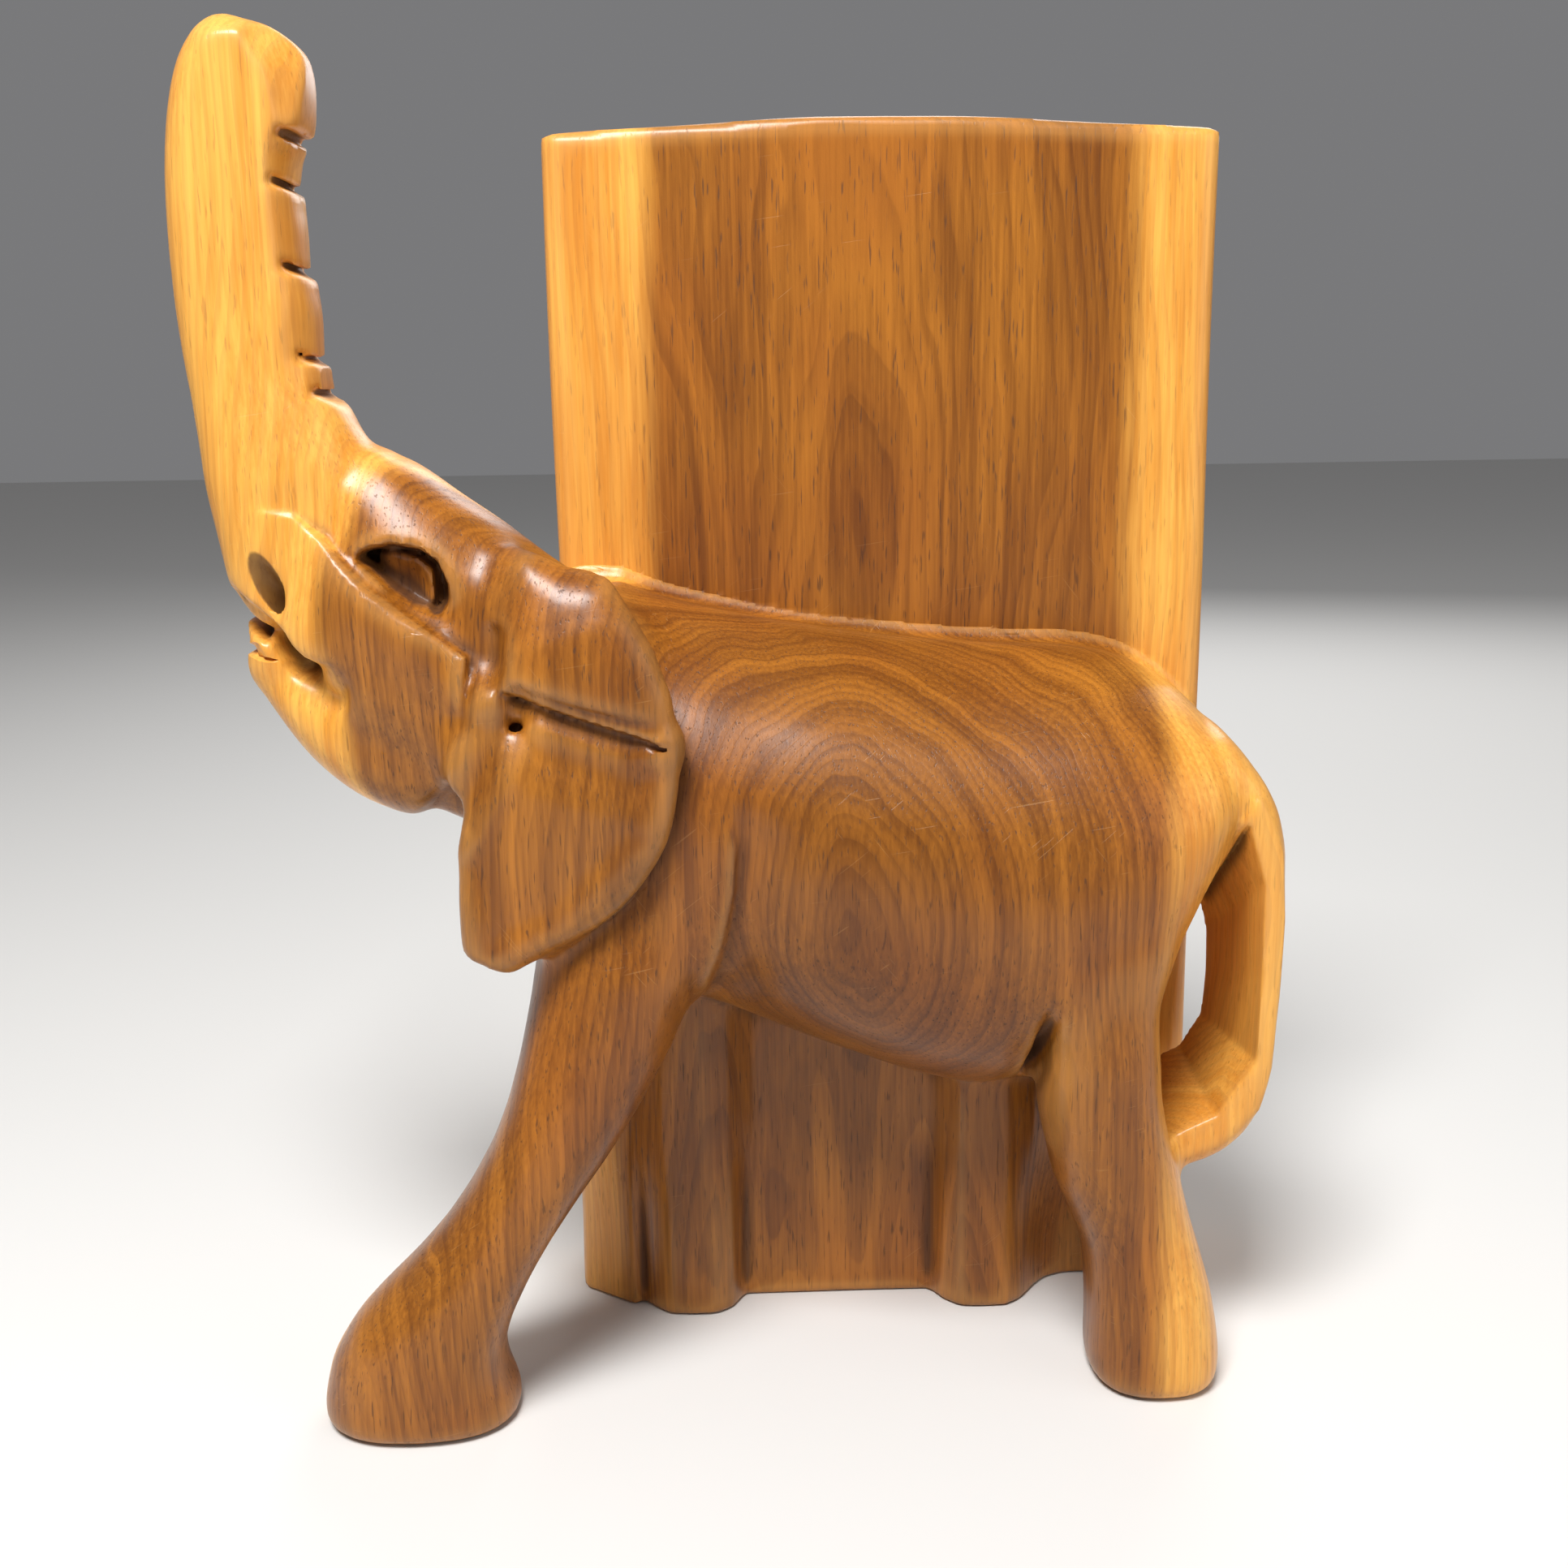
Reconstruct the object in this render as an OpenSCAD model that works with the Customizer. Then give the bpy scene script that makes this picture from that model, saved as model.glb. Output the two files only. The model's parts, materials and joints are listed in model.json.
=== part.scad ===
// Carved wooden elephant bookend: an elephant with a raised trunk that grows out of an upright board.
// Millimetres. +Z is up, +X runs from the trunk towards the tail, and -Y is the side that the elephant faces out of.
// The origin is the middle of the board's underside, on the surface that the bookend stands on.

/* [Board] */
// Width of the upright board
board_w = 121; // [100:1:150]
// Height of the board at its two top corners
board_h = 222; // [190:1:270]
// Thickness of the board
board_t = 20; // [12:1:30]
// How much the middle of the top edge rises above the corners
board_crown = 2.5; // [1:0.5:6]
// Radius of the board's upright edges
board_edge_r = 3; // [1:0.5:5]

/* [Body] */
// Height of the back where it meets the board, over the hips
back_h = 132; // [115:1:150]
// Height of the lowest part of the belly
belly_h = 47; // [40:1:56]
// How far the flank stands out from the board
flank_out = 47; // [38:1:57]
// Distance from the origin to the end of the rump
rump_x = 61; // [52:1:70]

/* [Head and trunk] */
// How far the head's middle plane stands out from the board
head_out = 22; // [18:1:27]
// Half of the head's thickness between the ears
head_half = 20; // [16:1:24]
// Height of the top of the trunk
trunk_top = 237; // [200:1:270]
// Width of the trunk halfway up, seen from the side
trunk_w = 21; // [17:0.5:26]
// Thickness of the trunk halfway up, seen from the front
trunk_t = 21; // [17:0.5:26]
// Number of wrinkle cuts across the trunk
wrinkles = 4; // [0:1:5]
// Width and depth of a wrinkle cut
wrinkle_cut = 2; // [1:0.25:3]
// Radius of the drilled tusk sockets
tusk_r = 2; // [1.5:0.1:2.6]
// Length of the tusk sockets along their axis
tusk_l = 12; // [8:0.5:16]
// Thickness of the ears
ear_t = 10; // [8:0.5:14]
// Height of the undercut below the folded top of the ear
ear_slot = 2.5; // [1:0.5:4]
// Length of the eyes
eye_l = 11; // [8:0.5:13]

/* [Legs and tail] */
// Length of the front foot, heel to toe
front_foot_l = 36; // [28:1:44]
// Thickness of both feet, seen from the front
foot_t = 27; // [22:1:33]
// Length of the hind foot
hind_foot_l = 24; // [20:1:30]
// How far the carved far legs stand out from the board
far_leg_out = 12; // [8:1:18]
// Width of the carved far legs
far_leg_w = 17; // [14:1:22]
// Thickness of the tail's band
tail_t = 6.5; // [5:0.5:9]
// Width of the tail's band, from front to back
tail_w = 29; // [24:1:34]

/* [Hidden] */
heartwood = "#8a5423";
sapwood = "#d9973f";
face_y = -board_t / 2;   // the board's front face
sides = 20;              // points round each cross-section
steps = 2;               // cross-sections between one station and the next
below = 6;               // how far a leg runs under the ground before it is cut off flat
far_front_x = -38.5;     // middle of the far legs
far_hind_x = 19.5;
web_out = 4.5;           // how far the ground between the far legs stands out from the board
mouth_x = -91;           // corner of the mouth
mouth_z = 133.5;
mouth_rise = 13;         // slope of the upper lip
jaw_room = 60;           // size of the block that is cleared for the jaw
sunk = 1;                // how far a piece is let into its neighbour where the two are joined
room = 300;              // more than the size of the whole bookend
eye_x = -80;             // middle of the eyes
eye_z = 148;
eye_sink = 2.5;          // how deep the middle of an eye lies under the widest part of the head
eye_rim = 1.6;           // width of the hollow round an eye
tusk_rise = 38;          // how far a tusk socket leans forwards from upright
tusk_spread = 44;        // how far it turns outwards

// A station of a limb: x, distance out from the board's face, z, half width in the side view, half thickness.
// Rows are vectors of five numbers, so that they can be added and scaled when they are blended.

function at(rows, i) = rows[max(0, min(len(rows) - 1, i))];

// A point of the smooth curve through the rows, between row i and the next, at t from 0 to 1
function between(rows, i, t) = let(a = at(rows, i - 1), b = at(rows, i), c = at(rows, i + 1), d = at(rows, i + 2))
    (2 * b + (c - a) * t + (2 * a - 5 * b + 4 * c - d) * t * t + (3 * b - a - 3 * c + d) * t * t * t) / 2;

function smooth(rows) = [
    for (i = [0 : len(rows) - 2], j = [0 : steps - 1]) between(rows, i, j / steps),
    rows[len(rows) - 1]
];

function heading(rows, i) = let(d = at(rows, i + 1) - at(rows, i - 1)) atan2(d[2], d[0]);

function rounded(v, power) = sign(v) * pow(abs(v), power);

// One cross-section: an ellipse square to the limb, which gets boxier as power drops below 1
function section(s, turn, power) = [
    for (k = [0 : sides - 1])
        let(u = s[3] * rounded(cos(360 * k / sides), power), v = s[4] * rounded(sin(360 * k / sides), power))
            [s[0] - u * sin(turn), face_y - s[1] + v, s[2] + u * cos(turn)]
];

// A limb: one closed skin through the stations, flat at both ends. Its cross-sections stand square to its middle line,
// or all at one turn where a turn is given.
module limb(stations, power = 1, turn = undef) {
    rows = smooth(stations);
    last = (len(rows) - 1) * sides;
    polyhedron(
        points = [for (i = [0 : len(rows) - 1]) each section(rows[i], is_undef(turn) ? heading(rows, i) : turn, power)],
        faces = [
            for (i = [0 : len(rows) - 2], k = [0 : sides - 1])
                let(a = i * sides + k, b = i * sides + (k + 1) % sides)
                    each [[a, b, b + sides], [a, b + sides, a + sides]],
            [for (k = [sides - 1 : -1 : 0]) k],
            [for (k = [0 : sides - 1]) last + k]
        ]);
}

// Everything behind the board's front face
module behind_face() {
    translate([-room, face_y, -room / 2]) cube([2 * room, room, 2 * room]);
}

// The board as a plain block, without its rounded edges
module board_block() {
    translate([-board_w / 2, face_y, 0]) cube([board_w, board_t, board_h]);
}

// Everything to the tail's side of the board's near edge
module beyond_board_edge() {
    translate([-board_w / 2, -room, -room / 2]) cube(2 * room);
}

module under_ground() {
    translate([-room, -room, -room]) cube([2 * room, 2 * room, room]);
}

// The board's outline from above: straight sides and round upright edges
module board_plan() {
    hull() for (x = [-1, 1], y = [-1, 1])
        translate([x * (board_w / 2 - board_edge_r), y * (board_t / 2 - board_edge_r)])
            circle(board_edge_r, $fn = 32);
}

// The board's outline from the front, with the crowned top edge as one arc
module board_front() {
    crown_r = (board_w * board_w / 4 + board_crown * board_crown) / (2 * board_crown);
    intersection() {
        translate([-board_w, 0]) square([2 * board_w, board_h + board_crown]);
        translate([0, board_h + board_crown - crown_r]) circle(crown_r, $fn = 240);
    }
}

module board_solid() {
    intersection() {
        linear_extrude(board_h + board_crown) board_plan();
        translate([0, board_t, 0]) rotate([90, 0, 0]) linear_extrude(2 * board_t) board_front();
    }
}

// The raised ground that is left standing between the two far legs
module web() {
    difference() {
        translate([far_front_x, face_y - web_out, 0])
            cube([far_hind_x - far_front_x, web_out + sunk, belly_h + 25]);
        body_solid();
    }
}

// Barrel of the body, from the shoulders to the rump. Its middle line lies close to the board's face.
module body_solid() {
    hips = back_h - belly_h;
    limb([
        [-57, 7, back_h - 8, hips * 0.30, flank_out - 18],
        [-46, 5, back_h - 24, hips * 0.41, flank_out - 11],
        [-28, 3, back_h - 31, hips * 0.44, flank_out - 6],
        [-8, 2, back_h - 37, hips * 0.47, flank_out - 3],
        [14, 1, back_h - 42, hips * 0.5, flank_out - 1],
        [33, 1, back_h - 41, hips * 0.48, flank_out - 1],
        [rump_x - 16, 2, back_h - 36, hips * 0.39, flank_out - 5],
        [rump_x - 7, 5, back_h - 28, hips * 0.22, flank_out - 12],
        [rump_x - 1, 9, back_h - 24, hips * 0.08, flank_out - 22],
        [rump_x + 1, 12, back_h - 23, hips * 0.03, flank_out - 32]
    ], 0.9, 0);
}

module near_front_leg_solid() {
    difference() {
        limb([
            [-46, 22, 104, 13, 16],
            [-49, 28, 82, 14.5, 18],
            [-57, 33, 60, 11.5, 16],
            [-65, 37, 45, 9, 13.5],
            [-74, 40, 31, 9, 12.5],
            [-82, 41, 19, front_foot_l / 3, foot_t / 2],
            [-86, 41, 9, front_foot_l * 0.46, foot_t / 2],
            [-86.5, 41, 0, front_foot_l / 2, foot_t / 2],
            [-86.5, 41, -below, front_foot_l / 2, foot_t / 2]
        ], 0.85);
        under_ground();
    }
}

module near_hind_leg_solid() {
    difference() {
        limb([
            [38, 22, 92, 9, 17],
            [35, 28, 70, 11.5, 19],
            [35, 31, 55, 11.5, 17],
            [38.5, 32, 41, 11, 15.5],
            [42.5, 33, 29, 9.8, 13.5],
            [45, 34.5, 17, hind_foot_l / 2 - 0.8, foot_t / 2],
            [46, 35, 6, hind_foot_l / 2, foot_t / 2],
            [46, 35, 0, hind_foot_l / 2 - 0.3, foot_t / 2],
            [46, 35, -below, hind_foot_l / 2 - 0.3, foot_t / 2]
        ], 0.8);
        under_ground();
    }
}

// A far leg, carved in relief on the board's face, at x
module far_leg_solid(x) {
    difference() {
        limb([
            [x, 0.5, belly_h + 24, far_leg_w / 2 - 1, far_leg_out - 1],
            [x, 0.5, belly_h - 10, far_leg_w / 2 - 1, far_leg_out - 1],
            [x, 0.5, 12, far_leg_w / 2, far_leg_out],
            [x, 0.5, 4, far_leg_w / 2, far_leg_out],
            [x, 0.5, -below, far_leg_w / 2, far_leg_out]
        ], 0.7);
        under_ground();
        behind_face();
    }
}

// Skull, cheeks and neck. The neck reaches back to the board.
module head_solid() {
    limb([
        [-46, head_out - 3, 118, 20, head_half - 3],
        [-59, head_out - 2, 123.5, 23.5, head_half + 1.5],
        [-72, head_out, 130.5, 24, head_half],
        [-82, head_out, 138, 25, head_half],
        [-91, head_out, 146, 24, head_half - 2],
        [-96, head_out, 151.5, 23, head_half - 5],
        [-101, head_out, 155, 17, head_half - 8],
        [-104, head_out, 157, 10, head_half - 12]
    ], 0.85);
}

// Stations of the trunk, from the upper lip up the front of the face to the bend at the top
function trunk_rows() = [
    [-100.5, head_out, 134, 7, head_half - 9],
    [-101.5, head_out, 143, 10.5, head_half - 6],
    [-102, head_out, 154, 12.5, head_half - 6],
    [-102.5, head_out, 166, trunk_w / 2 + 3.5, trunk_t / 2 + 3],
    [-106, head_out, 180, trunk_w / 2 + 1, trunk_t / 2 + 0.5],
    [-108, head_out, 194, trunk_w / 2 + 0.3, trunk_t / 2],
    [-108.6, head_out, 208, trunk_w / 2 - 0.5, trunk_t / 2],
    [-108, head_out, trunk_top - 17, trunk_w / 2 - 1, trunk_t / 2],
    [-106.5, head_out, trunk_top - 8, trunk_w / 2 - 2, trunk_t / 2 - 0.5],
    [-105, head_out, trunk_top - 3, trunk_w / 2 - 4.5, trunk_t / 2 - 2],
    [-104, head_out, trunk_top - 1.5, trunk_w / 2 - 7, trunk_t / 2 - 5]
];

module trunk_solid() {
    limb(trunk_rows(), 0.8);
}

// The trunk's tip, bent over towards the board and down
module trunk_tip_solid() {
    limb([
        [-108, head_out, trunk_top - 9, 4, trunk_t / 2 - 2],
        [-104, head_out, trunk_top - 4.5, 4.3, trunk_t / 2 - 1],
        [-100, head_out, trunk_top - 7, 4.2, trunk_t / 2 - 1],
        [-99, head_out, trunk_top - 13, 3, trunk_t / 2 - 1.5],
        [-99, head_out, trunk_top - 18, 2.4, trunk_t / 2 - 2]
    ], 0.8);
}

// Square-edged cuts across the trunk's inner edge, one at each station above the forehead
module wrinkle_cuts() {
    lowest = 4;
    for (i = [0 : 1 : wrinkles - 1])
        let(row = trunk_rows()[lowest + i])
            translate([row[0] + row[3], face_y - head_out, row[2]])
                rotate([0, 45, 0])
                    cube([wrinkle_cut, 2 * trunk_t, wrinkle_cut], center = true);
}

module lower_jaw_solid() {
    limb([
        [-79, head_out, 113, 8, head_half - 4],
        [-87, head_out, 118.5, 10, head_half - 3.5],
        [-95.5, head_out, 124, 9, head_half - 6],
        [-103, head_out, 129.5, 6, head_half - 9],
        [-109, head_out, 133.5, 2.8, head_half - 12]
    ], 0.85);
}

// The room below the upper lip, which the jaw stands in with an open mouth above it
module mouth_room() {
    translate([mouth_x, face_y - head_out, mouth_z])
        rotate([0, mouth_rise, 0])
            translate([-jaw_room, -jaw_room / 2, -jaw_room]) cube(jaw_room);
}

// A tusk socket is drilled into the side of the trunk's root. It leans up, forwards and outwards: side is 1 for the
// near one and -1 for the far one.
function tusk_mouth(side) = [-105, face_y - head_out - side * (head_half - 6.5), 149];

module tusk_socket(side) {
    translate(tusk_mouth(side))
        rotate([0, 0, side * tusk_spread]) rotate([0, -tusk_rise, 0])
            translate([0, 0, -tusk_l]) cylinder(r = tusk_r, h = 2 * tusk_l, $fn = 48);
}

// An ear hangs beside the head: side is 1 for the near one and -1 for the far one.
function ear_rows(side) = let(out = head_out + side * (head_half + 3)) [
    [-60, out - side * 8, 156, 3, ear_t / 2],
    [-58, out - side * 5, 149, 8, ear_t / 2],
    [-55, out - side, 140, 11, ear_t / 2],
    [-53, out, 130, 14.5, ear_t / 2],
    [-54.5, out, 120, 17.5, ear_t / 2],
    [-57.5, out, 112, 19, ear_t / 2],
    [-60, out, 105, 17.2, ear_t / 2],
    [-63.5, out, 98, 13.5, ear_t / 2],
    [-67.5, out, 91.5, 8.5, ear_t / 2],
    [-70.5, out, 85.5, 4.5, ear_t / 2 - 1]
];

// The undercut below the folded top of the near ear
module ear_slot_cut() {
    translate([-54, face_y - head_out - head_half - ear_t, 128])
        rotate([0, 18, 0])
            cube([28, ear_t * 1.2, ear_slot], center = true);
}

// An almond along x, grown by grow all round
module eye_solid(side, grow = 0) {
    out = head_out + side * (head_half - eye_sink);
    limb([
        [eye_x - eye_l / 2 - grow, out - side, eye_z + 3, 1 + grow / 2, 1 + grow / 2],
        [eye_x - eye_l / 4, out, eye_z + 1.5, 3.2 + grow, 3.2 + grow],
        [eye_x, out, eye_z, 4.2 + grow, 4 + grow],
        [eye_x + eye_l / 4, out, eye_z - 2.5, 3.4 + grow, 3.2 + grow],
        [eye_x + eye_l / 2 + grow, out - side, eye_z - 5, 1 + grow / 2, 1 + grow / 2]
    ]);
}

// The hollow round an eye stops at the eye's own depth, so that the eye's back stays set in the head.
module eye_hollow(side) {
    out = head_out + side * (head_half - eye_sink);
    intersection() {
        eye_solid(side, eye_rim);
        translate([eye_x - eye_l, face_y - out - (side > 0 ? eye_l : 0), eye_z - eye_l])
            cube([2 * eye_l, eye_l, 2 * eye_l]);
    }
}

// The tail: a flat band from the rump, down and round to the back of the hind leg
module tail_solid() {
    out = 21;
    limb([
        [rump_x - 7, out, back_h - 19, tail_t / 2 + 3, tail_w / 2 - 3],
        [rump_x, out, back_h - 24, tail_t / 2 + 1, tail_w / 2 - 1],
        [rump_x + 4, out, back_h - 34, tail_t / 2, tail_w / 2],
        [rump_x + 4, out, back_h - 47, tail_t / 2, tail_w / 2],
        [rump_x + 4, out, back_h - 62, tail_t / 2, tail_w / 2],
        [rump_x + 3, out, back_h - 76, tail_t / 2 + 0.4, tail_w / 2],
        [rump_x - 1, out, back_h - 84.5, tail_t / 2 + 1, tail_w / 2],
        [rump_x - 8, out, back_h - 89, tail_t / 2 + 1.2, tail_w / 2],
        [rump_x - 18, out, back_h - 90.5, tail_t / 2 + 1.2, tail_w / 2 - 1]
    ], 0.6);
}

module back_board() {
    color(heartwood) union() {
        board_solid();
        web();
    }
}

module body() {
    color(heartwood) difference() {
        body_solid();
        behind_face();
    }
}

module head() {
    color(heartwood) difference() {
        head_solid();
        body_solid();
        trunk_solid();
        lower_jaw_solid();
        board_block();
        mouth_room();
        for (side = [-1, 1]) eye_hollow(side);
        for (side = [-1, 1]) eye_solid(side);
        for (side = [-1, 1]) tusk_socket(side);
    }
}

module trunk() {
    color(sapwood) difference() {
        union() {
            trunk_solid();
            trunk_tip_solid();
        }
        mouth_room();
        wrinkle_cuts();
        for (side = [-1, 1]) tusk_socket(side);
    }
}

module lower_jaw() {
    color(sapwood) lower_jaw_solid();
}

module near_ear() {
    color(heartwood) difference() {
        limb(ear_rows(1), 0.8);
        head_solid();
        body_solid();
        near_front_leg_solid();
        ear_slot_cut();
    }
}

module far_ear() {
    low = [for (i = [2 : len(ear_rows(-1)) - 1]) ear_rows(-1)[i]];
    color(heartwood) difference() {
        limb(low, 0.8);
        head_solid();
        body_solid();
        beyond_board_edge();
    }
}

module near_eye() {
    color(heartwood) eye_solid(1);
}

module far_eye() {
    color(heartwood) eye_solid(-1);
}

module near_front_leg() {
    color(heartwood) difference() {
        near_front_leg_solid();
        body_solid();
        head_solid();
    }
}

module near_hind_leg() {
    color(sapwood) difference() {
        near_hind_leg_solid();
        body_solid();
    }
}

module far_leg(x) {
    color(heartwood) difference() {
        far_leg_solid(x);
        body_solid();
        web();
    }
}

module tail() {
    color(sapwood) difference() {
        tail_solid();
        body_solid();
        near_hind_leg_solid();
        behind_face();
    }
}

back_board();
body();
head();
trunk();
lower_jaw();
near_ear();
far_ear();
near_eye();
far_eye();
near_front_leg();
near_hind_leg();
far_leg(far_front_x);  // far_front_leg
far_leg(far_hind_x);  // far_hind_leg
tail();
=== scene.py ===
"""Looks of the carved wooden elephant bookend: one skin, carved from the CAD and cut into its members."""

import json
import math

import bmesh
import bpy
import numpy as np
import openvdb
from mathutils import Matrix, Vector


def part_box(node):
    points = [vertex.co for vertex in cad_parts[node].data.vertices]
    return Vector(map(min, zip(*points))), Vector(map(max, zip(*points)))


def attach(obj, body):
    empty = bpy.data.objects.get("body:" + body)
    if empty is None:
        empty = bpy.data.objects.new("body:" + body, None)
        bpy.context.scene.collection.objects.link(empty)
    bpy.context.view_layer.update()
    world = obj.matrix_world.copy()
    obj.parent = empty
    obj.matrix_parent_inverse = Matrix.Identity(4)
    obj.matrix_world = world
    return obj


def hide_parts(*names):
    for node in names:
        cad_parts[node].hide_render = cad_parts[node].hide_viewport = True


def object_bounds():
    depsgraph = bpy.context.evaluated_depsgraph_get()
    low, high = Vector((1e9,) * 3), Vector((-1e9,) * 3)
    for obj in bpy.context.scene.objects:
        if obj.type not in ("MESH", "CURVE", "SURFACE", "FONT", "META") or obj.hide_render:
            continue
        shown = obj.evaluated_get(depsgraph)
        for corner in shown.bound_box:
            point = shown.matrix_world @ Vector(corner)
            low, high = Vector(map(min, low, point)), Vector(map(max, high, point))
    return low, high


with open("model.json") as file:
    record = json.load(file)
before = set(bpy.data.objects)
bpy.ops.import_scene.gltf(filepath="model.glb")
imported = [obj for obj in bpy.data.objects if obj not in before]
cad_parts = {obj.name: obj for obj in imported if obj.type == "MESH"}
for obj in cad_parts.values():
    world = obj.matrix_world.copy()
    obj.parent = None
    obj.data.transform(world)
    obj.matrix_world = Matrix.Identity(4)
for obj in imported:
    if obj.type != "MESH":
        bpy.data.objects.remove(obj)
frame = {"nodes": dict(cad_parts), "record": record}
CAD_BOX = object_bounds()
MM = 0.001

# ---------------------------------------------------------------- places, in millimetres, from the frame

BOARD = "back_board"
ELEPHANT = [name for name in sorted(frame["nodes"]) if name != BOARD]
BOARD_T = 20.0  # without the ground that stands out between the far legs
FACE_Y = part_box(BOARD)[1].y / MM - BOARD_T
BOARD_LOW, BOARD_HIGH = (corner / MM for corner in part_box(BOARD))
HEAD_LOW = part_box("head")[0] / MM
TRUNK_LOW, TRUNK_HIGH = (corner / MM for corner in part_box("trunk"))
TAIL_LOW, TAIL_HIGH = (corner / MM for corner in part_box("tail"))
TRUNK_Y = (TRUNK_LOW.y + TRUNK_HIGH.y) / 2
TRUNK_TOP = TRUNK_HIGH.z
NEAR, FAR_SIDE = 1, -1

# ---------------------------------------------------------------- fields
# A field is a block of signed distances in millimetres on one shared lattice, negative inside the wood.

STEP = 0.7     # between one sample and the next
BAND = 12      # samples on each side of a surface that know their distance to it
PAD = 4.0      # room round the elephant
BEHIND = 9.0   # how far the lattice runs into the board
LET_IN = 1.5   # how far the elephant's skin runs into the board
LOWEST = [CAD_BOX[0][axis] / MM - PAD for axis in range(3)]
HIGHEST = [CAD_BOX[1][0] / MM + PAD, FACE_Y + BEHIND, CAD_BOX[1][2] / MM + PAD]
FIRST = tuple(2 * int(math.floor(v / STEP / 2)) for v in LOWEST)
SHAPE = tuple(int(math.ceil(v / STEP)) - first + 1 for v, first in zip(HIGHEST, FIRST))
FAR = BAND * STEP


def along(axis, first, count, step):
    """The positions of a row of samples along one axis, shaped to broadcast."""
    shape = [1, 1, 1]
    shape[axis] = -1
    return ((first + np.arange(count)) * step).reshape(shape)


def lattice(axis, block):
    """The positions of a block's samples along one axis."""
    part = block[axis]
    return along(axis, FIRST[axis] + part.start, part.stop - part.start, STEP).astype(np.float32)


def block_of(low, high):
    """The part of the lattice between two corners."""
    part = []
    for axis in range(3):
        a = int(math.floor(low[axis] / STEP)) - FIRST[axis]
        b = int(math.ceil(high[axis] / STEP)) - FIRST[axis] + 1
        part.append(slice(max(0, a), min(SHAPE[axis], b)))
    return tuple(part)


EVERYWHERE = tuple(slice(0, n) for n in SHAPE)


def node_grid(node, step, band):
    """A CAD node's mesh as a grid of distances in millimetres."""
    mesh = frame["nodes"][node].data
    mesh.calc_loop_triangles()
    points = np.empty(len(mesh.vertices) * 3, np.float32)
    mesh.vertices.foreach_get("co", points)
    triangles = np.empty(len(mesh.loop_triangles) * 3, np.int32)
    mesh.loop_triangles.foreach_get("vertices", triangles)
    return openvdb.FloatGrid.createLevelSetFromPolygons(
        points.reshape(-1, 3) / MM,
        triangles=triangles.reshape(-1, 3).astype(np.uint32),
        transform=openvdb.createLinearTransform(step),
        halfWidth=band,
    )


def node_field(node):
    field = np.empty(SHAPE, np.float32)
    node_grid(node, STEP, BAND).copyToArray(field, ijk=FIRST)
    return field


def carried_behind_face(field):
    """The field of a solid that ends on the board's face, mirrored there, so that it runs on behind it."""
    face = FACE_Y / STEP - FIRST[1]
    samples = np.arange(SHAPE[1])
    return field[:, np.where(samples > face, np.round(2 * face - samples).astype(int), samples), :]


def blurred(field, sigma, step=STEP):
    """The field smoothed by a bell curve of that many millimetres."""
    reach = int(math.ceil(2.5 * sigma / step))
    weights = np.exp(-0.5 * (np.arange(-reach, reach + 1) * step / sigma) ** 2)
    weights = (weights / weights.sum()).astype(np.float32)
    for axis in range(3):
        padded = np.pad(field, [(reach, reach) if a == axis else (0, 0) for a in range(3)], mode="edge")
        total = np.zeros_like(field)
        for i, weight in enumerate(weights):
            part = [slice(None)] * 3
            part[axis] = slice(i, i + field.shape[axis])
            total += weight * padded[tuple(part)]
        field = total
    return field


def join(a, b, soft=0.01):
    """Union, with a fillet of about that many millimetres. Far out, where distances end, nothing blends."""
    h = np.maximum(soft - np.abs(a - b), 0) / soft
    nearest = np.minimum(a, b)
    return nearest - h * h * soft * 0.25 * np.clip(2 - nearest * 4 / FAR, 0, 1)


def without(a, b, soft=0.01):
    """a with b cut away."""
    return -join(-a, b, soft)


def both(a, b, soft=0.01):
    """Only what is in a and in b."""
    return -join(-a, -b, soft)


def ramp_up(value, low, high):
    """0 below low, 1 above high, and a smooth rise between them."""
    t = np.clip((value - low) / (high - low), 0, 1)
    return t * t * (3 - 2 * t)


# ---------------------------------------------------------------- the carver's tools

def gouge(block, path, radius, end_radius=None):
    """A rounded gouge along a path of points. Its radius runs evenly from the first value to the second."""
    x, y, z = (lattice(axis, block) for axis in range(3))
    end_radius = radius if end_radius is None else end_radius
    count = len(path) - 1
    best = np.inf
    for i in range(count):
        a, b = np.array(path[i], float), np.array(path[i + 1], float)
        d = b - a
        t = np.clip(((x - a[0]) * d[0] + (y - a[1]) * d[1] + (z - a[2]) * d[2]) / float(d @ d), 0, 1)
        gap = np.sqrt((x - a[0] - t * d[0]) ** 2 + (y - a[1] - t * d[1]) ** 2 + (z - a[2] - t * d[2]) ** 2)
        best = np.minimum(best, gap - radius - (end_radius - radius) * (i + t) / count)
    return best.astype(np.float32)


def chisel(block, centre, size, turn=0.0):
    """A box-shaped cut, turned by degrees about y."""
    x, y, z = (lattice(axis, block) - centre[axis] for axis in range(3))
    c, s = math.cos(math.radians(turn)), math.sin(math.radians(turn))
    q = [np.abs(x * c - z * s) - size[0] / 2, np.abs(y) - size[1] / 2, np.abs(x * s + z * c) - size[2] / 2]
    outside = np.sqrt(sum(np.maximum(v, 0) ** 2 for v in q))
    return (outside + np.minimum(np.maximum(np.maximum(q[0], q[1]), q[2]), 0)).astype(np.float32)


def segment_gap(x, z, a, b):
    """Distance in the side view, in x and z, to the straight line from a to b."""
    dx, dz = b[0] - a[0], b[1] - a[1]
    t = np.clip(((x - a[0]) * dx + (z - a[1]) * dz) / (dx * dx + dz * dz), 0, 1)
    return np.sqrt((x - a[0] - t * dx) ** 2 + (z - a[1] - t * dz) ** 2)


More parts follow.
